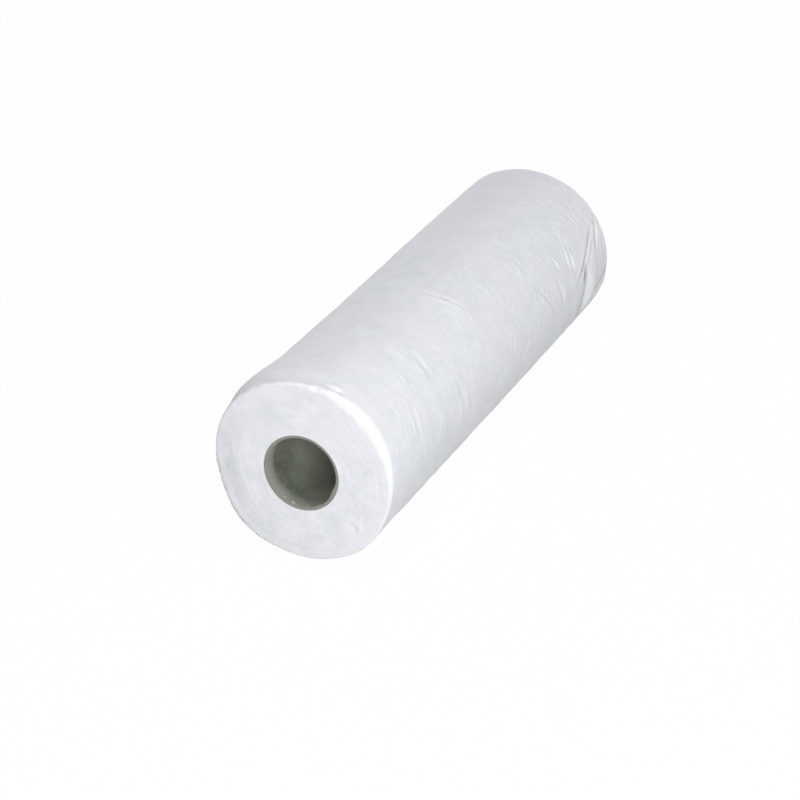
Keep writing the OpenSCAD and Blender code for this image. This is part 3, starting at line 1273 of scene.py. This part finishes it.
@dataclass
class Studio:
    """The pale floor, the soft lights and the camera."""

    floor_colour: tuple[float, float, float] = (0.62, 0.62, 0.62)
    floor_lift: float = 0.985
    world_light: float = 0.2
    camera_place: tuple[float, float, float] = (-1.3629, -0.5602, 0.7156)
    camera_turn: float = 66.937
    camera_down: float = 25.277
    lens: float = 108.0

    def build(self) -> None:
        """Builds the floor, the world, the lights and the camera."""
        self._lay_floor()
        self._light_world()
        for light in LIGHTS:
            light.hang()
        self._set_camera()

    def _lay_floor(self) -> None:
        """Lays the floor, which looks white to the camera and keeps the roll's soft shadow."""
        bm = bmesh.new()
        bmesh.ops.create_grid(bm, x_segments=1, y_segments=1, size=15.0)
        bmesh.ops.translate(bm, vec=(0.0, 0.0, -0.2 * MM), verts=bm.verts)
        floor = finished_object("floor", bm)
        material = bpy.data.materials.new("white_floor")
        material.use_nodes = True
        desk = NodeDesk(material.node_tree)
        matt = material.node_tree.nodes["Principled BSDF"]
        matt.inputs["Base Color"].default_value = (*self.floor_colour, 1.0)
        matt.inputs["Roughness"].default_value = 1.0
        matt.inputs["Specular IOR Level"].default_value = 0.0
        glow = desk.place("ShaderNodeEmission")
        glow.inputs["Strength"].default_value = 1.0
        path = desk.place("ShaderNodeLightPath")
        seen = desk.math("MAXIMUM", path.outputs["Is Camera Ray"], path.outputs["Is Glossy Ray"])
        seen = desk.math("MAXIMUM", seen, path.outputs["Is Transmission Ray"])
        share = desk.math("MULTIPLY", seen, self.floor_lift)
        mix = desk.place("ShaderNodeMixShader")
        desk.join(share, mix.inputs[0])
        desk.join(matt.outputs[0], mix.inputs[1])
        desk.join(glow.outputs[0], mix.inputs[2])
        output = material.node_tree.nodes["Material Output"]
        desk.join(mix.outputs[0], output.inputs["Surface"])
        floor.data.materials.append(material)

    def _light_world(self) -> None:
        """Lights the scene evenly from all round, with a white background."""
        world = bpy.data.worlds.new("studio")
        bpy.context.scene.world = world
        world.use_nodes = True
        desk = NodeDesk(world.node_tree)
        backdrop = world.node_tree.nodes["Background"]
        backdrop.inputs["Color"].default_value = (1.0, 1.0, 1.0, 1.0)
        path = desk.place("ShaderNodeLightPath")
        seen = desk.math("MAXIMUM", path.outputs["Is Camera Ray"], path.outputs["Is Transmission Ray"])
        strength = desk.place("ShaderNodeMapRange")
        strength.inputs["To Min"].default_value = self.world_light
        strength.inputs["To Max"].default_value = 1.0
        desk.join(seen, strength.inputs["Value"])
        desk.join(strength.outputs[0], backdrop.inputs["Strength"])

    def _set_camera(self) -> None:
        """Sets the camera at the photograph's place and angle."""
        turn = math.radians(self.camera_turn)
        down = math.radians(self.camera_down)
        ahead = Vector((math.sin(turn) * math.cos(down), math.cos(turn) * math.cos(down), -math.sin(down)))
        camera = bpy.data.cameras.new("camera")
        camera.lens = self.lens
        camera.sensor_width = 36.0
        made = bpy.data.objects.new("camera", camera)
        made.location = self.camera_place
        made.rotation_euler = ahead.to_track_quat("-Z", "Y").to_euler()
        bpy.context.scene.collection.objects.link(made)
        bpy.context.scene.camera = made


# The rim's colour is paler than the sheet's: a painted highlight along the rounded, frayed rim
RIM = PaperFinish(
    name="frayed_rim_painted_highlight", shade=(0.83, 0.845, 0.865), light=(0.895, 0.905, 0.92), roughness=0.9,
    crinkles_along=500.0, crinkles_round=500.0, relief=0.0004,
)
SHEET = PaperFinish(
    name="soft_sheet", shade=(0.785, 0.815, 0.845), light=(0.865, 0.895, 0.925), roughness=0.62,
    crinkles_along=290.0, crinkles_round=190.0, relief=0.00038, strokes=0.22, warm=0.45,
    near_share=0.5, folded=True,
)
EDGES = PaperFinish(
    name="cut_edges", shade=(0.74, 0.77, 0.81), light=(0.865, 0.88, 0.912), roughness=0.8,
    crinkles_along=200.0, crinkles_round=200.0, relief=0.00025, strokes=0.2, laps=900.0,
    lap_relief=0.00005, lap_tone=0.14,
)


def dress(piece: bpy.types.Object, node: str, materials: list[bpy.types.Material]) -> None:
    """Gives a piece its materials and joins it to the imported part.

    Args:
        piece: The finished piece.
        node: The solid that it replaces.
        materials: Its materials, in the order of its faces' numbers.
    """
    for material in materials:
        piece.data.materials.append(material)
    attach(piece, "root")
    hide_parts(node)
    triangles = sum(len(face.vertices) - 2 for face in piece.data.polygons)
    log.info("%s: %d triangles, replaces %s", piece.name, triangles, node)


def main() -> None:
    """Builds the roll and the studio."""
    logging.basicConfig(level=logging.INFO, format="%(name)s: %(message)s")
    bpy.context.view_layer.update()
    bpy.context.scene.view_settings.view_transform = "Standard"
    grain = paper_grain_group()
    roll = PaperRoll()
    fold_shade = fold_shade_group(roll.length, roll.axis_height)
    dress(
        roll.build(), "paper_roll",
        [finish.make(grain, fold_shade, roll.axis_height) for finish in (SHEET, EDGES, RIM)],
    )
    dress(BoardCore().build(), "core", [BoardFinish().make(grain, roll.axis_height)])
    Studio().build()


if __name__ == "__main__":
    main()
